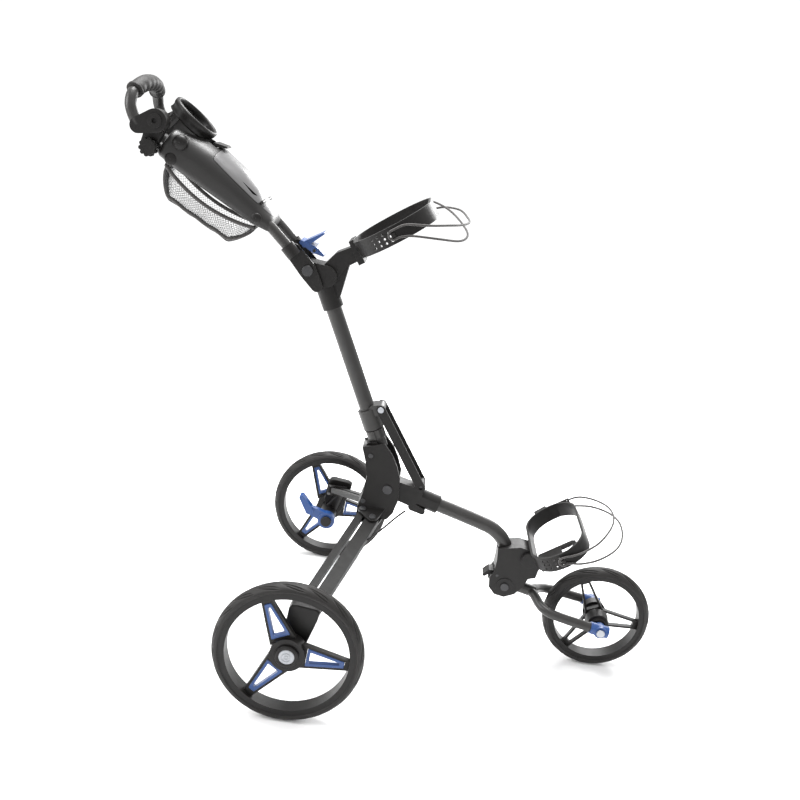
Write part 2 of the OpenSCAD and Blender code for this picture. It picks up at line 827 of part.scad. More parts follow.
console_side = [
    [-6, -12], [30, -19], [200, -16], [240, -13], [250, 0], [250, 54], [238, 64], [226, 63],
    [166, 54], [40, 32], [0, 24], [-8, 10]
];

module console_outline(y0, y1) {
    translate([0, y1, 0]) rotate([90, 0, 0]) linear_extrude(y1 - y0) polygon(console_side);
}

// Plan of the console: wide at its upper end, narrow at the joint
console_plan = [
    [-20, -54], [20, -60], [120, -70], [200, -console_w / 2], [300, -console_w / 2],
    [300, console_w / 2], [200, console_w / 2], [120, 70], [20, 60], [-20, 54]
];

module in_cup() translate([cup_centre[0], 0, cup_centre[1]]) rotate([0, -lid_slope, 0]) children();
module in_clip() translate([clip_axis[0], 0, clip_axis[1]]) rotate([90, 0, 0]) children();
module in_lid() translate([lid_hinge[0], 0, lid_hinge[1]]) rotate([0, -lid_slope, 0]) children();

module console_body() {
    color(dark_grey) at_axle() on_rails() difference() {
        union() {
            intersection() {
                console_outline(-90, 90);
                translate([0, 0, -60]) linear_extrude(200) polygon(console_plan);
            }
            in_cup() translate([0, 0, -44]) cylinder(d = cup_d + 8, h = 44);
        }
        translate([0, 0, -60]) linear_extrude(49.9) polygon(console_plan);
        for (y = [-rail_y, rail_y]) {
            translate([-40, y, 0]) rotate([0, 90, 0]) cylinder(d = rail_d, h = 400);
            translate([-40, y, -1.2]) rotate([0, 90, 0]) cylinder(d = rail_d + 3, h = 62);
        }
        for (y = [-rail_y, rail_y]) translate([-40, y - rail_d / 2, -20]) cube([400, rail_d, 20]);
        in_cup() translate([0, 0, -40]) cylinder(d = cup_d, h = 100);
        in_cup() cylinder(d = cup_d + 16, h = 60);
        translate([46, -48, 14]) cube([112, 96, 60]);
        in_lid() translate([2, -60, -4]) cube([132, 120, 60]);
        in_lid() translate([0, -47, -6]) rotate([-90, 0, 0]) cylinder(d = 13, h = 94);
        in_lid() translate([-7, -47, -6]) cube([14, 94, 20]);
        in_lid() translate([0, -55, -6]) rotate([-90, 0, 0]) cylinder(d = lid_pin_d + 2 * fit, h = 110);
        in_clip() cylinder(d = 15, h = 50, center = true);
        in_clip() cylinder(d = lid_pin_d + 2 * fit, h = 60, center = true);
        translate([clip_axis[0] - 8, -25, clip_axis[1]]) cube([16, 50, 20]);
        for (s = [29, 221]) translate([s, 0, 0]) rotate([90, 0, 0]) cylinder(d = 8, h = 300, center = true);
        translate([222, 0, 36]) rotate([90, 0, 0]) cylinder(d = 16, h = 300, center = true);
    }
}

module console_base() {
    color(black) at_axle() on_rails() difference() {
        intersection() {
            console_outline(-90, 90);
            translate([0, 0, -60]) linear_extrude(49) polygon(console_plan);
        }
        for (y = [-rail_y, rail_y]) {
            translate([-40, y, 0]) rotate([0, 90, 0]) cylinder(d = rail_d + 0.6, h = 400);
            translate([-40, y, -1.2]) rotate([0, 90, 0]) cylinder(d = rail_d + 3, h = 62);
        }
        in_cup() translate([0, 0, -60]) cylinder(d = cup_d + 10, h = 100);
    }
}

module cup_ring() {
    color(black) at_axle() on_rails() in_cup() difference() {
        cylinder(d = cup_d + 16, h = 24);
        translate([0, 0, -1]) cylinder(d = cup_d, h = 26);
    }
}

module side_caps() {
    color(black) at_axle() on_rails() both_sides() {
        for (s = [29, 221]) {
            w = s < 100 ? 62 : 75;
            translate([s, w, 0]) rotate([-90, 0, 0]) cylinder(d = s < 100 ? 20 : 24, h = 5);
            translate([s, w - 8, 0]) rotate([-90, 0, 0]) cylinder(d = 8, h = 8);
        }
        translate([222, 75, 36]) rotate([-90, 0, 0]) cylinder(d = 30, h = 9);
        translate([222, 62, 36]) rotate([-90, 0, 0]) cylinder(d = 16, h = 13);
    }
}

net_side = [
    [232, -20], [236, -40], [214, -78], [190, -86], [70, -86], [30, -72], [16, -46], [24, -20]
];
net_hollow = [
    [224, -19], [228, -40], [209, -74], [188, -81], [72, -81], [36, -69], [24, -46], [32, -19]
];

module net_bag() {
    color(black) at_axle() on_rails() difference() {
        translate([0, 44, 0]) rotate([90, 0, 0]) linear_extrude(88) polygon(net_side);
        translate([0, 40, 0]) rotate([90, 0, 0]) linear_extrude(80) polygon(net_hollow);
    }
}

module console_lid() {
    color(light_grey) at_axle() on_rails() in_lid() difference() {
        union() {
            hull() {
                translate([6, -56, -3]) cube([118, 112, 1]);
                translate([10, -50, 5]) cube([110, 100, 1]);
                translate([24, -34, 12]) cube([84, 68, 1]);
            }
            translate([0, -46, -6]) rotate([-90, 0, 0]) cylinder(d = 10, h = 92);
            translate([0, -46, -4]) cube([8, 92, 3]);
            translate([0, -54, -6]) rotate([-90, 0, 0]) cylinder(d = lid_pin_d, h = 108);
        }
        translate([14, -44, -10]) cube([102, 88, 12]);
    }
}

module scorecard_clip() {
    color(black) at_axle() on_rails() {
        in_clip() cylinder(d = 11, h = 48, center = true);
        in_clip() cylinder(d = lid_pin_d, h = 58, center = true);
        hull() {
            in_clip() translate([0, 9, 0]) cylinder(d = 7, h = 44, center = true, $fn = 32);
            in_clip() translate([-22, 17, 0]) cylinder(d = 4, h = 36, center = true, $fn = 32);
        }
        in_clip() translate([-2, 0, -20]) cube([4, 9, 40]);
    }
}

// ---------------------------------------------------------------- loop handle

// Middle line of the loop handle, up its left leg, along the grip and down its right leg
loop_half = [
    [300, loop_y, 22], [316, loop_y, 31], [331, loop_y - 2, 45], [340, loop_y - 12, 61],
    [343, loop_y - 34, 74], [344, 24, 83]
];
loop_right = [for (i = [5 : -1 : 0]) [loop_half[i][0], -loop_half[i][1], loop_half[i][2]]];
loop_path = spline(concat(loop_half, loop_right), 3);
grip_path = [for (i = [10 : 23]) loop_path[i]];

// Disc across the rails with its middle at y, at p along and above the rails
module rails_disc(p, y, d, t) {
    translate([p[0], y, p[1]]) rotate([90, 0, 0]) cylinder(d = d, h = t, center = true, $fn = 32);
}

module loop_tube() color(charcoal) at_axle() on_rails() pipe(loop_path, loop_d - 0.1, tube_wall, 20);

module loop_grip() {
    color(dark_grey) at_axle() on_rails() pipe(grip_path, grip_d, (grip_d - loop_d) / 2 - 0.2, 24);
}

module loop_arms() {
    color(black) at_axle() on_rails() both_sides() difference() {
        union() {
            hull() {
                rails_disc(hub_axis, hub_in + 11, 44, 20);
                rails_disc([298, 22], loop_y, 30, 22);
            }
            rails_disc(hub_axis, hub_in + 22, 26, 5);
        }
        cord([for (i = [0 : 5]) loop_path[i]], loop_d, 20);
        translate([hub_axis[0], 0, hub_axis[1]]) rotate([90, 0, 0])
            cylinder(d = 10 + 2 * fit, h = 300, center = true);
    }
}

// Fixed halves of the angle joints, on the upper ends of the rails
module angle_brackets() {
    color(black) at_axle() on_rails() both_sides() difference() {
        union() {
            hull() {
                rails_disc(hub_axis, 70, 40, 16);
                rails_disc([272, 2], 62, 30, 20);
            }
            translate([260, rail_y, 0]) rotate([0, 90, 0]) cylinder(d = rail_d + 7, h = 22);
            translate([260, rail_y, -13]) cube([22, 16, 26]);
            translate([hub_axis[0], 99, hub_axis[1]]) rotate([90, 0, 0]) cylinder(d = 10, h = 38);
        }
        translate([200, rail_y, 0]) rotate([0, 90, 0]) cylinder(d = rail_d, h = 62);
        translate([265, 62, -4]) rotate([90, 0, 0]) cylinder(d = 8, h = 100, center = true);
    }
}

// Star knob on the right that locks the handle angle
module angle_knob() {
    color(black) at_axle() on_rails() translate([265, -76, -4]) rotate([90, 0, 0]) {
        cylinder(d = 29, h = 15);
        for (a = [0 : 36 : 324]) rotate([0, 0, a]) translate([14, 0, 0]) cylinder(d = 8, h = 13);
        translate([0, 0, -22]) cylinder(d = 8 - 2 * fit, h = 23);
    }
}

main_tube();
housing_left();
housing_right();
frame_screws();
stop_ring();
upper_bracket();
upper_cradle();
upper_strap();
upper_bungee();
handle_pin();
handle_rails();
handle_fork();
console_body();
console_base();
cup_ring();
side_caps();
net_bag();
console_lid();
scorecard_clip();
release_lever();
loop_tube();
loop_grip();
loop_arms();
angle_brackets();
angle_knob();
slide_collar();
strut_bars();
strut_rivets();
front_knuckle();
front_tube();
front_bracket();
lower_cradle();
lower_strap();
lower_bungee();
foot_plate();
fork_catch();
front_fork();
fork_ends();
front_axle();
front_tyre();
front_rim();
front_hub();
front_pins();
leg_left();
leg_right();
rod_left();
rod_right();
carrier_left();
carrier_right();
tyre_left();
tyre_right();
rim_left();
rim_right();
insert_left();
insert_right();
hub_cap_left();
hub_cap_right();
brake_pedal();
brake_cap();
brake_cable();
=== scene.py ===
"""Golf push trolley: the visible model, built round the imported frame. Metres, +X forward, +Y left, +Z up."""
import json
from math import cos, exp, pi, radians, sin, sqrt

import bmesh
import bpy
from mathutils import Matrix, Vector


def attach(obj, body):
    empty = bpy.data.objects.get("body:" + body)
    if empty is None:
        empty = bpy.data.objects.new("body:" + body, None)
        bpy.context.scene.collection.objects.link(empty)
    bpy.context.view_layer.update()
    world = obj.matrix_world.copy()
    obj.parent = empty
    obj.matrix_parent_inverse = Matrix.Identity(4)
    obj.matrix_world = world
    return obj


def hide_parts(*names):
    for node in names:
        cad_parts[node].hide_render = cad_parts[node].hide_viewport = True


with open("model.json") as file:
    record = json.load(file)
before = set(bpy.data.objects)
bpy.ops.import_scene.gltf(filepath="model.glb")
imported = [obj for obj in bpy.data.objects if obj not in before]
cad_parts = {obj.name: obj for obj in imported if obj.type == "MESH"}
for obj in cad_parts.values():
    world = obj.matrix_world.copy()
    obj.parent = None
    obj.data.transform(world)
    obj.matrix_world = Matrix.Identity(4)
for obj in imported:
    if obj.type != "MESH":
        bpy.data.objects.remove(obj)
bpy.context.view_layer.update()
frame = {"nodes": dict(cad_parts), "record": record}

AXLE_BACK = 0.163  # the rear axle's distance behind the origin
RAIL_RISE = radians(28.5)
LID_SLOPE = radians(10.5)
CRADLE_TILT = radians(34.6)
RAIL_BEND = (-152, 895)
UPPER_ROOT = (34, 866)
LOWER_ROOT = (488, 256)
REAR_TRACK = 348  # from the middle plane to a rear wheel
REAR_RADIUS = 146
FRONT_RADIUS = 119
FRONT_WHEEL = (644, 0, FRONT_RADIUS)
CORD_THICKNESS = 0.0045
CABLE_THICKNESS = 0.004


# ---------------------------------------------------------------- places, from millimetres on the drawing
def at(x, y, z):
    """A point given from the rear axle at ground level, in millimetres."""
    return Vector((x / 1000 - AXLE_BACK, y / 1000, z / 1000))


def on_rails(s, y, n):
    """A point along the handle rails and above them."""
    return at(
        RAIL_BEND[0] - s * cos(RAIL_RISE) + n * sin(RAIL_RISE),
        y,
        RAIL_BEND[1] + s * sin(RAIL_RISE) + n * cos(RAIL_RISE),
    )


def sloped(origin):
    """A frame on the console's sloping top, at origin along and above the rails."""
    c, k = cos(LID_SLOPE), sin(LID_SLOPE)
    return lambda x, y, z: on_rails(origin[0] + x * c - z * k, y, origin[1] + x * k + z * c)


def on_cradle(root):
    """The frame of a bag cradle: +X towards the bag, +Z along it."""
    c, k = cos(CRADLE_TILT), sin(CRADLE_TILT)
    return lambda x, y, z: at(root[0] + x * c - z * k, y, root[1] + x * k + z * c)


in_lid = sloped((36, 35))
in_cup = sloped((239, 64))


def spline(points, steps):
    """Catmull-Rom curve through points."""
    p = [Vector(q) for q in points]
    out = []
    for i in range(len(p) - 1):
        a, b, c, d = p[max(i - 1, 0)], p[i], p[i + 1], p[min(i + 2, len(p) - 1)]
        for k in range(steps):
            u = k / steps
            out.append(0.5 * (2 * b + (c - a) * u + (2 * a - 5 * b + 4 * c - d) * u * u
                              + (3 * b - a - 3 * c + d) * u * u * u))
    out.append(p[-1])
    return out


def path_length(points):
    return sum((b - a).length for a, b in zip(points, points[1:]))


# ---------------------------------------------------------------- camera and light
camera = bpy.data.objects.new("camera", bpy.data.cameras.new("camera"))
bpy.context.scene.collection.objects.link(camera)
bpy.context.scene.camera = camera
camera.data.sensor_width = 36
camera.data.lens = 42.467
azimuth, elevation, roll = 0.00762, 0.30455, 0.13061
back = Vector((sin(azimuth) * cos(elevation), -cos(azimuth) * cos(elevation), sin(elevation)))
level = Vector((cos(azimuth), sin(azimuth), 0))
upright = back.cross(level)
right = level * cos(roll) + upright * sin(roll)
up = upright * cos(roll) - level * sin(roll)
place = Vector((0.14793 - AXLE_BACK, -0.28809, 0.65206)) + back * 1.69169
camera.matrix_world = Matrix((
    (right.x, up.x, back.x, place.x),
    (right.y, up.y, back.y, place.y),
    (right.z, up.z, back.z, place.z),
    (0, 0, 0, 1),
))

scene = bpy.context.scene
scene.view_settings.view_transform = "Standard"
world = bpy.data.worlds.new("studio")
scene.world = world
world.use_nodes = True
FRONT_WALL, BACK_WALL, CEILING = 0.72, 1.06, 1.34  # how bright the studio is on each side


def studio_sky():
    """White wall behind and above the trolley, a little greyer in front of it."""
    nodes, links = world.node_tree.nodes, world.node_tree.links
    direction = nodes.new("ShaderNodeSeparateXYZ")
    links.new(nodes.new("ShaderNodeTexCoord").outputs["Generated"], direction.inputs["Vector"])
    wall = nodes.new("ShaderNodeMapRange")
    wall.interpolation_type = "SMOOTHSTEP"
    for key, value in (("From Min", -0.75), ("From Max", 0.30), ("To Min", FRONT_WALL), ("To Max", BACK_WALL)):
        wall.inputs[key].default_value = value
    links.new(direction.outputs["Y"], wall.inputs["Value"])
    height = nodes.new("ShaderNodeMath")
    height.operation = "MAXIMUM"
    height.inputs[1].default_value = 0
    links.new(direction.outputs["Z"], height.inputs[0])
    blend = nodes.new("ShaderNodeMix")
    links.new(height.outputs["Value"], blend.inputs["Factor"])
    links.new(wall.outputs["Result"], blend.inputs["A"])
    blend.inputs["B"].default_value = CEILING
    links.new(blend.outputs["Result"], nodes["Background"].inputs["Strength"])
    nodes["Background"].inputs["Color"].default_value = (1, 1, 1, 1)


studio_sky()


def area_light(name, position, target, size, power):
    """Soft rectangular lamp, in metres and watts."""
    light = bpy.data.lights.new(name, "AREA")
    light.shape = "RECTANGLE"
    light.size, light.size_y = size
    light.energy = power
    obj = bpy.data.objects.new(name, light)
    scene.collection.objects.link(obj)
    obj.location = position
    obj.rotation_euler = (Vector(target) - Vector(position)).to_track_quat("-Z", "Y").to_euler()


area_light("overhead", (-0.3, 0.5, 2.8), (0, 0, 0.4), (1.3, 0.9), 120)
area_light("left_side", (-2.4, -0.9, 1.7), (0, 0, 0.5), (0.7, 1.6), 46)
area_light("behind", (0.9, 2.6, 1.6), (0, 0, 0.5), (2.0, 0.9), 60)


# ---------------------------------------------------------------- materials
def material(name, colour, roughness, metallic=0.0, grain=0.15, grain_scale=900, vary=0.12, edge_highlight_and_wear=0.0,
             coat=0.0, streak=(1, 1, 1), sheen=0.0, specular=0.5):
    """A surface with fine grain, patchy colour and gloss, and edges lightened in colour as a painted
    highlight, partly as wear.
    """
    m = bpy.data.materials.new(name)
    m.use_nodes = True
    nodes, links = m.node_tree.nodes, m.node_tree.links
    shader = nodes["Principled BSDF"]
    shader.inputs["Metallic"].default_value = metallic
    shader.inputs["Coat Weight"].default_value = coat
    shader.inputs["Specular IOR Level"].default_value = specular
    shader.inputs["Sheen Weight"].default_value = sheen
    coords = nodes.new("ShaderNodeTexCoord")
    mapping = nodes.new("ShaderNodeMapping")
    mapping.inputs["Scale"].default_value = streak
    links.new(coords.outputs["Object"], mapping.inputs["Vector"])

    def noise(scale, detail):
        n = nodes.new("ShaderNodeTexNoise")
        n.inputs["Scale"].default_value = scale
        n.inputs["Detail"].default_value = detail
        links.new(mapping.outputs["Vector"], n.inputs["Vector"])
        return n.outputs["Fac"]

    patches = noise(28, 4)
    ramp = nodes.new("ShaderNodeValToRGB")
    ramp.color_ramp.elements[0].position = 0.3
    ramp.color_ramp.elements[1].position = 0.7
    ramp.color_ramp.elements[0].color = (*[c * (1 - vary) for c in colour], 1)
    ramp.color_ramp.elements[1].color = (*[c * (1 + vary) for c in colour], 1)
    links.new(patches, ramp.inputs["Fac"])
    colour_out = ramp.outputs["Color"]
    # painted edge highlight, partly wear: the base colour is lightened along convex edges, where the bevel
    # normal parts from the surface normal
    if edge_highlight_and_wear:
        bevel = nodes.new("ShaderNodeBevel")
        bevel.samples = 4
        bevel.inputs["Radius"].default_value = 0.0012
        geometry = nodes.new("ShaderNodeNewGeometry")
        dot = nodes.new("ShaderNodeVectorMath")
        dot.operation = "DOT_PRODUCT"
        links.new(bevel.outputs["Normal"], dot.inputs[0])
        links.new(geometry.outputs["Normal"], dot.inputs[1])
        edge = nodes.new("ShaderNodeMapRange")
        edge.inputs["From Min"].default_value = 0.995
        edge.inputs["From Max"].default_value = 0.90
        edge.inputs["To Max"].default_value = edge_highlight_and_wear
        links.new(dot.outputs["Value"], edge.inputs["Value"])
        mix = nodes.new("ShaderNodeMix")
        mix.data_type = "RGBA"
        mix.inputs[7].default_value = (*[min(1, c * 2.2 + 0.05) for c in colour], 1)
        links.new(edge.outputs["Result"], mix.inputs["Factor"])
        links.new(colour_out, mix.inputs[6])
        colour_out = mix.outputs[2]
    links.new(colour_out, shader.inputs["Base Color"])
    gloss = nodes.new("ShaderNodeMapRange")
    gloss.inputs["To Min"].default_value = max(0.05, roughness - 0.07)
    gloss.inputs["To Max"].default_value = min(1, roughness + 0.09)
    links.new(noise(90, 3), gloss.inputs["Value"])
    links.new(gloss.outputs["Result"], shader.inputs["Roughness"])
    bump = nodes.new("ShaderNodeBump")
    bump.inputs["Strength"].default_value = grain
    bump.inputs["Distance"].default_value = 0.0004
    links.new(noise(grain_scale, 3), bump.inputs["Height"])
    links.new(bump.outputs["Normal"], shader.inputs["Normal"])
    return m


def braid(name, colour, scale):
    """Woven elastic: two crossing waves in colour and bump."""
    m = material(name, colour, 0.8, grain=0.2, vary=0.2, sheen=0.3)
    nodes, links = m.node_tree.nodes, m.node_tree.links
    coords = next(n for n in nodes if n.type == "TEX_COORD")
    waves = []
    for turn in (0.7, -0.7):
        mapping = nodes.new("ShaderNodeMapping")
        mapping.inputs["Rotation"].default_value = (turn, turn * 0.6, turn)
        wave = nodes.new("ShaderNodeTexWave")
        wave.inputs["Scale"].default_value = scale
        links.new(coords.outputs["Object"], mapping.inputs["Vector"])
        links.new(mapping.outputs["Vector"], wave.inputs["Vector"])
        waves.append(wave)
    both = nodes.new("ShaderNodeMath")
    both.operation = "MULTIPLY"
    links.new(waves[0].outputs["Fac"], both.inputs[0])
    links.new(waves[1].outputs["Fac"], both.inputs[1])
    bump = next(n for n in nodes if n.type == "BUMP")
    bump.inputs["Strength"].default_value = 0.6
    links.new(both.outputs["Value"], bump.inputs["Height"])
    return m


# The edge lightening set in these materials is a painted edge highlight, partly wear.
POWDER = material("powder_coat", (0.020, 0.0190, 0.0182), 0.36, metallic=0.1, grain=0.10, grain_scale=1600,
                  vary=0.06, edge_highlight_and_wear=0.22, specular=0.45)
LEG_COAT = material("leg_powder_coat", (0.008, 0.0076, 0.0072), 0.55, grain=0.10, grain_scale=1600,
                    vary=0.06, edge_highlight_and_wear=0.22, specular=0.25)
CASTING = material("moulded_nylon", (0.0062, 0.0056, 0.0053), 0.42, grain=0.24, grain_scale=1200, edge_highlight_and_wear=0.26,
                   specular=0.24)
CONSOLE = material("console_plastic", (0.0110, 0.0103, 0.0099), 0.36, grain=0.18, grain_scale=1400, edge_highlight_and_wear=0.20,
                   specular=0.4)
LID = material("lid_plastic", (0.085, 0.084, 0.085), 0.30, grain=0.10, grain_scale=1400, vary=0.04, coat=0.1,
               specular=0.4)
BLUE = material("blue_plastic", (0.0130, 0.048, 0.17), 0.34, grain=0.08, vary=0.08, edge_highlight_and_wear=0.3, coat=0.1,
                specular=0.4)
RUBBER = material("soft_rubber", (0.0100, 0.0092, 0.0088), 0.60, grain=0.5, grain_scale=700, vary=0.15,
                  specular=0.3)
TYRE = material("tyre_rubber", (0.0120, 0.0110, 0.0105), 0.52, grain=0.45, grain_scale=520, vary=0.16,
                specular=0.28)
STEEL = material("plated_steel", (0.30, 0.31, 0.33), 0.30, metallic=0.95, grain=0.12, grain_scale=300,
                 vary=0.08, streak=(1, 8, 1))
DARK_STEEL = material("blackened_steel", (0.040, 0.040, 0.042), 0.34, metallic=0.6, grain=0.12,
                      grain_scale=300, vary=0.12, edge_highlight_and_wear=0.3)
CAP = material("hub_disc", (0.30, 0.31, 0.33), 0.34, metallic=0.3, grain=0.06, vary=0.04)
NET = material("net_thread", (0.020, 0.020, 0.021), 0.75, grain=0.5, grain_scale=2500, vary=0.2, sheen=0.2)
ELASTIC = braid("woven_elastic", (0.030, 0.027, 0.026), 420)
FLOOR = material("studio_floor", (0.96, 0.96, 0.96), 0.9, grain=0.0, vary=0.005)


# ---------------------------------------------------------------- meshes
def add(name, vertices, faces, mat, body, slot):
    """A smooth mesh piece riding on a body. A piece with no body is staging or a cutter."""
    mesh = bpy.data.meshes.new(name)
    mesh.from_pydata([tuple(v) for v in vertices], [], faces)
    mesh.update()
    bm = bmesh.new()
    bm.from_mesh(mesh)
    bmesh.ops.recalc_face_normals(bm, faces=bm.faces)
    bm.to_mesh(mesh)
    bm.free()
    mesh.materials.append(mat)
    for face in mesh.polygons:
        face.use_smooth = True
    obj = bpy.data.objects.new(name, mesh)
    scene.collection.objects.link(obj)
    if body:
        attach(obj, body)
    return obj


def bevelled(obj, width, segments=2):
    """Round a piece's sharp edges, by width in metres."""
    bevel = obj.modifiers.new("edges", "BEVEL")
    bevel.width = width
    bevel.segments = segments
    bevel.limit_method = "ANGLE"
    bevel.angle_limit = radians(30)
    bevel.miter_outer = "MITER_ARC"
    normals = obj.modifiers.new("normals", "WEIGHTED_NORMAL")
    normals.keep_sharp = True


WINDOWED = ("insert_left", "insert_right")  # faces with a hole in them keep their triangles


def refine(node, mat, slot, width, segments):
    """A CAD node's own shape with rounded edges, as a new piece in its place."""
    source = frame["nodes"][node]
    bm = bmesh.new()
    bm.from_mesh(source.data)
    bmesh.ops.remove_doubles(bm, verts=bm.verts, dist=4e-6)
    bmesh.ops.dissolve_degenerate(bm, edges=bm.edges, dist=2e-6)
    if node not in WINDOWED:
        bmesh.ops.dissolve_limit(bm, angle_limit=radians(0.5), verts=bm.verts, edges=bm.edges)
    vertices = [v.co.copy() for v in bm.verts]
    bm.verts.index_update()
    faces = [[v.index for v in f.verts] for f in bm.faces]
    bm.free()
    obj = add(node + "_shell", vertices, faces, mat, BODY[node], slot)
    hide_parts(node)
    bevelled(obj, width, segments)


def grid(rows, closed_rows=False, closed_cols=False, cap_ends=False):
    """Vertices and faces of a surface given as rows of points."""
    n, m = len(rows), len(rows[0])
    vertices = [p for row in rows for p in row]
    faces = []
    for i in range(n if closed_rows else n - 1):
        for j in range(m if closed_cols else m - 1):
            a, b = i * m + j, i * m + (j + 1) % m
            c, d = ((i + 1) % n) * m + (j + 1) % m, ((i + 1) % n) * m + j
            faces.append((a, b, c, d))
    if cap_ends:
        faces.append(tuple(range(m)))
        faces.append(tuple((n - 1) * m + j for j in reversed(range(m))))
    return vertices, faces


def revolve(place, profile, turns):
    """A ring from a profile of (radius, offset along the axis), each put in place by place(x, y, offset)."""
    rows = []
    for i in range(turns):
        a = 2 * pi * i / turns
        rows.append([place(r * cos(a), r * sin(a), w) for r, w in profile])
    return grid(rows, closed_rows=True, closed_cols=True)


def across(centre):
    """Places for revolve round an axle that runs along Y."""
    return lambda x, z, w: centre + Vector((x, w, z)) / 1000


def sweep(path, section):
    """A tube along path. section(u) gives its (sideways, over) offsets in metres, u going from 0 to 1."""
    rows, normal = [], None
    n = len(path)
    for i, p in enumerate(path):
        ahead = path[min(i + 1, n - 1)]
        behind = path[max(i - 1, 0)]
        t = (ahead - behind).normalized()
        if normal is None:
            guide = Vector((0, 0, 1)) if abs(t.z) < 0.9 else Vector((0, 1, 0))
            normal = t.cross(guide).normalized()
        normal = (normal - t * normal.dot(t)).normalized()
        over = t.cross(normal)
        rows.append([p + normal * x + over * y for x, y in section(i / max(n - 1, 1))])
    return grid(rows, closed_cols=True, cap_ends=True)


def oval_section(a, b, sides):
    """Section for sweep: an oval with half axes a and b, in metres."""
    ring = [(a * cos(2 * pi * k / sides), b * sin(2 * pi * k / sides)) for k in range(sides)]
    return lambda u: ring


BODY = {n: b for b, members in frame["record"]["behaviour"]["bodies"].items() for n in members}
SLOT = {s["node"]: s["material_slot"] for s in frame["record"]["subparts"]}


# ---------------------------------------------------------------- cords, first
def cord(name, node, points, diameter, length, mat, slot, **facts):
    curve = bpy.data.curves.new(name, "CURVE")
    curve.dimensions = "3D"
    curve.bevel_depth = diameter / 2
    curve.bevel_resolution = 3
    curve.use_fill_caps = True
    line = curve.splines.new("POLY")
    line.points.add(len(points) - 1)
    for point, p in zip(line.points, points):
        point.co = (*p, 1)
    curve.materials.append(mat)
    obj = bpy.data.objects.new(name, curve)
    scene.collection.objects.link(obj)
    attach(obj, BODY[node])
    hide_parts(node)
    print(name, "length", round(path_length(points), 4))
    return obj


UPPER_ROUTE = [
    (130.8, 127, 19), (156, 118, 16), (180, 90, -8), (194, 50, -34), (201, 0, -60), (196, -38, -68),
    (180, -70, -62), (150, -110, -36), (112, -126, -8), (90, -127.5, 1), (77, -127, 2),
    (71, -127, 10), (77, -127, 18), (90, -127.5, 19), (112, -127, 16), (148, -118, -6),
    (180, -88, -26), (200, -52, -40), (213, 0, -48), (213, 40, -42), (204, 76, -24), (172, 112, -6),
    (130.8, 127, 1),
]
LOWER_ROUTE = [
    (106.8, 127, 25), (130, 119, 24), (156, 100, 14), (178, 68, 2), (185, 30, -3), (180, -8, -5),
    (164, -42, -5), (136, -80, -1), (104, -108, 8), (80, -124, 18), (64, -127.5, 24),
    (53, -127, 24), (47, -127, 16), (53, -127, 8), (64, -127.5, 8), (90, -122, -8),
    (124, -104, -24), (158, -72, -36), (178, -38, -39), (188, 0, -35), (188, 36, -28),
    (174, 74, -18), (144, 108, -4), (106.8, 127, 7),
]
for level_name, root, route, length in (
    ("upper", UPPER_ROOT, UPPER_ROUTE, 0.82), ("lower", LOWER_ROOT, LOWER_ROUTE, 0.70)
):
    place_on = on_cradle(root)
    points = spline([place_on(*p) for p in route], 6)
    cord(f"{level_name}_cord", f"{level_name}_bungee", points, CORD_THICKNESS, length, ELASTIC, "elastic",
         stiffness="medium", lay="taut")
cable = [(118, -105, 280), (130, -88, 286), (150, -64, 297), (172, -38, 311), (189, -22, 321)]
cord("brake_wire", "brake_cable", spline([at(*p) for p in cable], 6), CABLE_THICKNESS, 0.117, RUBBER,
     "rubber", stiffness="stiff", lay="taut")


# ---------------------------------------------------------------- CAD shapes with rounded edges
SHELLS = {  # each node's edge radius, in millimetres
    POWDER: {"main_tube": 0.4, "handle_rails": 0.4, "front_tube": 0.4, "front_fork": 1.2,
             "slide_collar": 1.6, "stop_ring": 1.2},
    LEG_COAT: {"leg_left": 3.0, "leg_right": 3.0, "rod_left": 2.4, "rod_right": 2.4, "strut_bars": 1.2},
    CASTING: {"housing_left": 1.8, "housing_right": 1.8, "upper_bracket": 2.0, "handle_fork": 2.0,
              "upper_cradle": 1.0, "lower_cradle": 1.0, "scorecard_clip": 1.0,
              "loop_arms": 2.2, "angle_brackets": 2.0, "angle_knob": 1.2,
              "front_knuckle": 2.0, "front_bracket": 2.2, "fork_catch": 1.0, "foot_plate": 1.2,
              "rim_left": 1.6, "rim_right": 1.6, "front_rim": 1.4, "front_hub": 1.2,
              "carrier_left": 1.6, "carrier_right": 1.6, "brake_cap": 0.8},
    BLUE: {"release_lever": 1.4, "fork_ends": 1.4, "insert_left": 1.2, "insert_right": 1.2,
           "brake_pedal": 1.8},
    STEEL: {"strut_rivets": 0.6, "front_axle": 0.8},
    DARK_STEEL: {"frame_screws": 0.7, "handle_pin": 1.0, "front_pins": 0.7},
    RUBBER: {"upper_strap": 0.8, "lower_strap": 0.8},
}
for mat, nodes_of in SHELLS.items():
    for node, width in nodes_of.items():
        refine(node, mat, SLOT[node], width / 1000, 3 if width > 1 else 2)


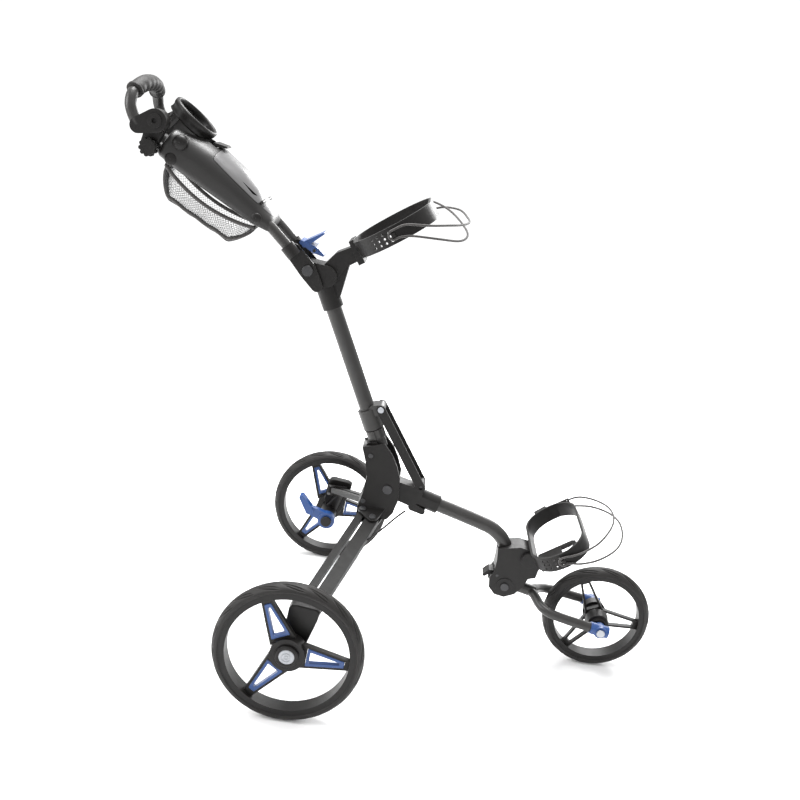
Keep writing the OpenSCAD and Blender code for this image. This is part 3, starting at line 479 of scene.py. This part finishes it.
# ---------------------------------------------------------------- tyres
def tyre(side, node, centre, r, w, repeats):
    """Foam tyre of radius r and width w, with curved leaf grooves round both shoulders."""
    seat, arc = r - 19, w / 2.6  # where it meets the rim, and how deep its round back is
    profile = [(seat, 4.2 - w / 2, None), (seat + 4, 4.2 - w / 2, None), (seat + 4, 1.2 - w / 2, None)]
    steps = 64
    for k in range(steps + 1):
        a = -80 + 160 * k / steps
        profile.append((None, None, a))
    profile += [(seat + 4, w / 2 - 1.2, None), (seat + 4, w / 2 - 4.2, None), (seat, w / 2 - 4.2, None)]
    around = repeats * 28
    rows = []
    for i in range(around):
        turn = 2 * pi * i / around
        row = []
        for radius, offset, a in profile:
            if a is None:  # the flat seat on the rim
                rr, ww = radius, offset
            else:
                depth = 0.0
                for ring, deep in ((70, 0.7), (5, 0.6)):  # plain grooves all the way round
                    depth += deep * exp(-(((abs(a) - ring) / 1.8) ** 2))
                v = (abs(a) - 10) / 52
                if 0 <= v <= 1:
                    u = (repeats * i / around + (0.5 if a > 0 else 0)) % 1
                    taper = min(1, 5 * u, 5 * (1 - u))
                    for power in (0.5, 1.9):
                        line = 0.92 - 0.86 * u ** power
                        depth += 2.1 * taper * exp(-(((v - line) / 0.075) ** 2))
                rr = r - arc + (arc - depth) * cos(radians(a))
                ww = (w / 2 - depth) * sin(radians(a))
            row.append(centre + Vector((rr * cos(turn), ww, rr * sin(turn))) / 1000)
        rows.append(row)
    obj = add(f"tyre_tread_{side}", *grid(rows, closed_rows=True, closed_cols=True), TYRE, BODY[node], "tyre")
    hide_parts(node)


tyre("right", "tyre_right", at(0, -REAR_TRACK, REAR_RADIUS), REAR_RADIUS, 36, 18)
tyre("left", "tyre_left", at(0, REAR_TRACK, REAR_RADIUS), REAR_RADIUS, 36, 18)
tyre("front", "front_tyre", at(*FRONT_WHEEL), FRONT_RADIUS, 37, 15)


# ---------------------------------------------------------------- wheel carriers
def carrier_cover(side):
    """Deep cast cheek between the ends of the leg and rod and the wheel's hub."""
    sign = -1 if side == "right" else 1
    outline = [(-4, 150), (-15, 178), (-9, 226), (-4, 233), (6, 235), (44, 230), (51, 224), (48, 206),
               (31, 153), (22, 141), (12, 137), (2, 140)]
    faces = []
    for y, inset in ((303, 0), (324, 0), (326.5, 2.5)):
        middle = Vector((12, 180))
        ring = []
        for x, z in outline:
            inward = (middle - Vector((x, z))).normalized() * inset
            ring.append(at(x + inward.x, sign * y, z + inward.y))
        faces.append(ring)
    cover = add(f"carrier_cheek_{side}", *grid(faces, closed_cols=True, cap_ends=True), CASTING,
                f"carrier_{side}", "black_casting")
    bevelled(cover, 0.0022, 3)


carrier_cover("right")
carrier_cover("left")


# ---------------------------------------------------------------- hub caps
BEZEL = [(15.4, 14), (23, 14), (23, 17.6), (22.2, 18.8), (20.6, 19.6), (18, 20.2), (16.4, 19.8), (15.4, 19.2)]
DISC = [(0.01, 15), (15.2, 15), (15.2, 19.1), (14.4, 19.7), (9.4, 19.9), (9.0, 19.3), (8.2, 19.3),
        (7.8, 20.1), (4.4, 20.4), (4.0, 19.7), (3.2, 19.7), (2.8, 20.4), (0.01, 20.5)]

for side, sign in (("right", -1), ("left", 1)):
    hub = across(at(0, sign * REAR_TRACK, REAR_RADIUS))

    def ring(name, profile, mat, slot):
        return add(name, *revolve(hub, [(r, sign * w) for r, w in profile], 72), mat, f"wheel_{side}", slot)

    bezel = ring(f"cap_bezel_{side}", BEZEL, CASTING, "black_casting")
    disc = ring(f"cap_disc_{side}", DISC, CAP, "cap_grey")
    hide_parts(f"hub_cap_{side}")
    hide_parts(f"hub_cap_{side}")


# ---------------------------------------------------------------- loop handle
LOOP_HALF = [(300, 92, 22), (316, 92, 31), (331, 90, 45), (340, 80, 61), (343, 58, 74), (344, 24, 83)]
loop_points = [on_rails(*p) for p in LOOP_HALF] + [on_rails(s, -y, n) for s, y, n in reversed(LOOP_HALF)]
loop_path = spline(loop_points, 16)
GRIP_SPAN = (54, 122)  # the grip's first and last place in loop_path
WAVE_SIDE = 0.8 * pi  # the side of the grip, round its tube, that carries the waves
WAVES = 7
LOOP_RADIUS = 0.01095


def loop_tube():
    """The bent tube of the loop handle."""
    skin = sweep(loop_path, oval_section(LOOP_RADIUS, LOOP_RADIUS, 40))
    tube = add("loop_bend", *skin, POWDER, "loop_handle", "charcoal_tube")
    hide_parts("loop_tube")


def grip():
    """Ridged rubber grip, with finger waves along one side and a collar at each end."""
    around = 48
    path = loop_path[GRIP_SPAN[0]:GRIP_SPAN[1] + 1]
    run = [0.0]
    for a, b in zip(path, path[1:]):
        run.append(run[-1] + (b - a).length * 1000)
    stations = [run[-1] * k / 150 for k in range(151)]

    def section(u):
        d = u * run[-1]
        end = min(d, run[-1] - d)
        ring = []
        for k in range(around):
            a = 2 * pi * k / around
            outer = max(0.0, cos(a - WAVE_SIDE)) ** 0.7
            r = 14.6 + 1.9 * outer * (0.5 - 0.5 * cos(2 * pi * d / (run[-1] / WAVES))) + 0.25 * cos(4 * a)
            if end < 6.5:
                r = 16.2 if 1 <= end <= 5.6 else 15.0
            ring.append((r * cos(a) / 1000, r * sin(a) / 1000))
        return ring

    points, i = [], 0
    for d in stations:
        while i < len(run) - 2 and run[i + 1] < d:
            i += 1
        points.append(path[i].lerp(path[i + 1], (d - run[i]) / (run[i + 1] - run[i])))
    obj = add("ridged_grip", *sweep(points, section), RUBBER, "loop_handle", "rubber")
    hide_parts("loop_grip")


loop_tube()
grip()


# ---------------------------------------------------------------- console lid
def rounded_rectangle(a, b, corner, n=9):
    """Outline with half sides a and b, and n points round each corner."""
    points = []
    for sx, sy, start in ((1, 1, 0), (-1, 1, 90), (-1, -1, 180), (1, -1, 270)):
        for k in range(n):
            t = radians(start + 90 * k / (n - 1))
            points.append((sx * (a - corner) + corner * cos(t), sy * (b - corner) + corner * sin(t)))
    return points


TOP_LINE = [(-8, 6), (0, 18), (18, 25), (34, 31), (50, 41), (100, 55), (160, 63), (226, 64), (250, 58)]
LOW_LINE = [(-8, -12), (30, -18), (200, -16), (250, -12)]
WIDTHS = [(-8, 50), (20, 58), (120, 69), (200, 75), (250, 75)]
CLIP_NOTCH = (165, 189, -26, 26, 46, 90)
SHELL_FLOOR = -10.2  # the body's lower edge above the rails
BASE_TOP = -10.8  # the underside's upper edge
LID_SEAM = -11.8  # the lid's lower edge, below the top of its own frame
CUP_BORE = 42


def along(line, s):
    """Height or width at s, smoothly joined between the points of a line."""
    for (s0, v0), (s1, v1) in zip(line, line[1:]):
        if s <= s1:
            return v0 + (v1 - v0) * (s - s0) / (s1 - s0)
    return line[-1][1]


def eased(line, s):
    return sum(along(line, min(250, max(-8, s + d))) for d in (-9, -6, -3, 0, 3, 6, 9)) / 7


def console_loft(lift):
    """Rounded body of the console as one closed skin, grown by lift."""
    rows, around = [], 112
    for i in range(87):
        s = -8 + 3 * i
        edge = min(s + 8, 250 - s)
        inset = 9 * (1 - sqrt(max(0.0, 1 - (1 - min(edge, 9) / 9) ** 2)))
        top = eased(TOP_LINE, s) - inset + lift
        low = along(LOW_LINE, s) + 0.4 * inset
        half = eased(WIDTHS, s) - inset + lift
        middle = low + 0.36 * (top - low)
        row = []
        for k in range(around):
            a = 2 * pi * k / around
            c, v = cos(a), sin(a)
            power = 2 / 2.35 if v > 0 else 2 / 5
            y = half * abs(c) ** power * (1 if c > 0 else -1)
            n = middle + ((top - middle) * v ** power if v > 0 else (low - middle) * (-v) ** power)
            row.append(on_rails(s, y, n))
        rows.append(row)
    return grid(rows, closed_cols=True, cap_ends=True)


def prism(place, outline, low, high):
    """Closed prism on an outline in a frame's own XY plane."""
    return grid([[place(x, y, z) for x, y in outline] for z in (low, high)], closed_cols=True, cap_ends=True)


def lid_outline(grow):
    """Outline of the lid's opening in the lid's frame, grown by grow."""
    return [(64 + x, y) for x, y in rounded_rectangle(61 + grow, 72 + grow, 30)]


def disc_outline(radius):
    """Round outline for a prism."""
    return [(radius * cos(2 * pi * k / 96), radius * sin(2 * pi * k / 96)) for k in range(96)]


def box_on_rails(s0, s1, y0, y1, n0, n1):
    """Closed box in the rails' frame, between two places along, across and above them."""
    return grid([[on_rails(s, y, n) for s, n in ((s0, n0), (s1, n0), (s1, n1), (s0, n1))] for y in (y0, y1)],
                closed_cols=True, cap_ends=True)


def carved(obj, cutters, operation="DIFFERENCE"):
    """Cut closed solids out of a piece, or keep only what lies in them."""
    for vertices, faces in cutters:
        cutter = add("cutter", vertices, faces, CASTING, None, None)
        boolean = obj.modifiers.new("cut", "BOOLEAN")
        boolean.operation = operation
        boolean.solver = "EXACT"
        boolean.object = cutter
        mesh = bpy.data.meshes.new_from_object(obj.evaluated_get(bpy.context.evaluated_depsgraph_get()))
        obj.modifiers.clear()
        obj.data = mesh
        bpy.data.objects.remove(cutter)
    while len(obj.data.materials) > 1:
        obj.data.materials.pop()
    bm = bmesh.new()
    bm.from_mesh(obj.data)
    bmesh.ops.remove_doubles(bm, verts=bm.verts, dist=2e-5)
    bmesh.ops.dissolve_degenerate(bm, edges=bm.edges, dist=1e-5)
    bm.to_mesh(obj.data)
    bm.free()
    for face in obj.data.polygons:
        face.use_smooth = True
        face.material_index = 0
    obj.data.set_sharp_from_angle(angle=radians(32))


def console():
    """Sculpted console body with its cup well, ball tray and notch for the scorecard clip."""
    body = add("console_shell", *console_loft(0), CONSOLE, "handle", "console_grey")
    tray = [(66 + x, y) for x, y in rounded_rectangle(50, 44, 12)]
    cuts = [prism(in_lid, lid_outline(0.7), -12.6, 60), prism(in_lid, tray, -32, 0),
            prism(in_cup, disc_outline(CUP_BORE), -40, 60), prism(in_cup, disc_outline(50.3), 0, 60),
            box_on_rails(*CLIP_NOTCH), box_on_rails(-20, 260, -90, 90, -40, SHELL_FLOOR)]
    carved(body, cuts)
    bevelled(body, 0.0009, 2)
    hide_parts("console_body")
    base = add("console_underside", *console_loft(-0.3), CASTING, "handle", "black_casting")
    carved(base, [box_on_rails(-20, 260, -90, 90, -40, BASE_TOP)], "INTERSECT")
    bevelled(base, 0.0006, 2)
    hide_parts("console_base")


def lid():
    """Light cover that carries on the console's skin, hollow underneath, with its hinge barrel."""
    cover = add("lid_cover", *console_loft(0.5), LID, "console_lid", "lid_grey")
    carved(cover, [prism(in_lid, lid_outline(0), LID_SEAM, 60)], "INTERSECT")
    hollow = [(66 + x, y) for x, y in rounded_rectangle(51, 49, 12)]
    carved(cover, [prism(in_lid, hollow, -20, -3.5)])
    bevelled(cover, 0.0008, 2)
    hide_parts("console_lid")
    hinge = [in_lid(0, y, -6) for y in (-46, 0, 46)]
    skin = sweep(hinge, oval_section(0.0035, 0.0035, 24))
    barrel = add("lid_barrel", *skin, CONSOLE, "console_lid", "lid_grey")
    bevelled(barrel, 0.0008)
    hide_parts("console_lid")
    tail = add("console_tail", *console_loft(0.5), LID, "handle", "lid_grey")
    nose = [(-50, -80), (2.2, -80), (2.2, 80), (-50, 80)]
    carved(tail, [prism(in_lid, nose, LID_SEAM, 60)], "INTERSECT")
    carved(tail, [prism(in_lid, [(-8.5, -74), (4, -74), (4, 74), (-8.5, 74)], -14, 30)])
    bevelled(tail, 0.0008, 2)


def side_caps():
    """Domed covers on the console's sides, over its screws and its two pegs."""
    # along and above the rails, out from the middle, radius and height
    domes = ((29, 0, 57, 10, 6), (221, 0, 71, 12, 8), (222, 36, 66, 15, 16))
    for sign in (-1, 1):
        for k, (s, n, y, r, h) in enumerate(domes):
            steps = [(r * sin(pi / 2 * j / 8), y + h * (0.35 + 0.65 * cos(pi / 2 * j / 8))) for j in range(9)]
            profile = [(max(0.02, a), sign * b) for a, b in steps] + [(r, sign * y), (0.02, sign * y)]
            cap = add(f"side_cap_{'left' if sign > 0 else 'right'}_{k}",
                      *revolve(across(on_rails(s, 0, n)), profile, 56), CASTING, "handle", "black_casting")
            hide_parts("side_caps")


console()
lid()
side_caps()


# ---------------------------------------------------------------- drinks ring
def cup():
    """Ring of the drinks holder, the skirt that carries it down to the console, and its rubber fingers."""
    profile = [(42.2, 0.2), (42.2, 18), (43.2, 22.5), (45.2, 24), (47.6, 23.6), (49.6, 21.6), (50, 18),
               (49.4, 13), (47.6, 10), (47.4, 4), (48.6, 0.4)]
    ring = add("drinks_ring", *revolve(in_cup, profile, 96), CASTING, "handle", "black_casting")
    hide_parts("cup_ring")
    profile = [(43.4, 0.0), (49.2, 0.0), (49.8, -8), (52.5, -18), (57, -28), (62, -36), (43.4, -36)]
    skirt = add("cup_skirt", *revolve(in_cup, profile, 96), CONSOLE, "handle", "console_grey")
    carved(skirt, [box_on_rails(190.5, 250, -74, 74, -5, 90)], "INTERSECT")
    for i in range(6):
        a0 = 2 * pi * i / 6
        strip = []
        for z in (-34, -20, -6, 4, 12):
            bulge = 5.5 * sin(pi * (z + 34) / 50)
            strip.append([in_cup((41.8 - bulge + t) * cos(a0 + d), (41.8 - bulge + t) * sin(a0 + d), z)
                          for d, t in ((-0.11, 0), (0.11, 0), (0.11, -1.6), (-0.11, -1.6))])
        skin = grid(strip, closed_cols=True, cap_ends=True)
        finger = add(f"cup_finger_{i}", *skin, RUBBER, "handle", "black_casting")
        bevelled(finger, 0.0004, 2)


cup()


# ---------------------------------------------------------------- net bag
def net():
    """Open net slung under the console, with an elastic hem round its mouth and a seam along its keel."""
    first, last, half = 24, 230, 41

    def surface(u, v):
        s = first + (last - first) * u
        top = -22 - 20 * sin(pi * u) ** 0.8
        depth = 60 * (1 - abs(2 * u - 1) ** 3.2) ** 0.6 + 2
        bottom = max(-84, top - depth)
        bow = cos(pi * v / 2) ** 0.8 if abs(v) < 1 else 0
        ripple = 1.6 * sin(9 * pi * u + 2 * v) * bow
        across_mouth = half * sin(pi * v / 2) * (0.92 + 0.08 * sin(pi * u))
        return on_rails(s, across_mouth, top + (bottom - top) * bow + ripple * 0.5)

    nu, nv = 72, 48  # half diamonds along and round the bag
    vertices, index = [], {}
    for i in range(nu + 1):
        for j in range(nv + 1):
            if (i + j) % 2 == 0:
                index[i, j] = len(vertices)
                vertices.append(surface(i / nu, 2 * j / nv - 1))
    faces = []
    for i in range(nu + 1):
        for j in range(nv + 1):
            if (i + j) % 2:
                ring = [(i - 1, j), (i, j - 1), (i + 1, j), (i, j + 1)]
                corners = [index[q] for q in ring if q in index]
                if len(corners) >= 3:
                    faces.append(corners)
    mesh = add("net_mesh", vertices, faces, NET, "handle", "net")
    wire = mesh.modifiers.new("threads", "WIREFRAME")
    wire.thickness = 0.0008
    wire.use_even_offset = False
    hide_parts("net_bag")

    def hem(name, line, half_width):
        skin = sweep(line, oval_section(0.0026, half_width, 14))
        add(f"net_hem_{name}", *skin, ELASTIC, "handle", "net")

    for name, v, lift in (("right", -1, 0), ("left", 1, 0), ("keel", 0, 1), ("band", -0.45, 0)):
        line = [surface(i / 60, v) + Vector((0, 0, 0.002 * lift)) for i in range(61)]
        hem(name, line, 0.0038)
    for name, u in (("low", 0.0), ("high", 1.0)):
        line = [surface(u, -1 + j / 12) for j in range(25)]
        hem(name, line, 0.0034)


net()


# ---------------------------------------------------------------- floor
FLOOR_HALF = 60
corners = [(FLOOR_HALF * x, FLOOR_HALF * y, 0) for x, y in ((-1, -1), (1, -1), (1, 1), (-1, 1))]
floor = add("floor", corners, [(0, 1, 2, 3)], FLOOR, None, None)
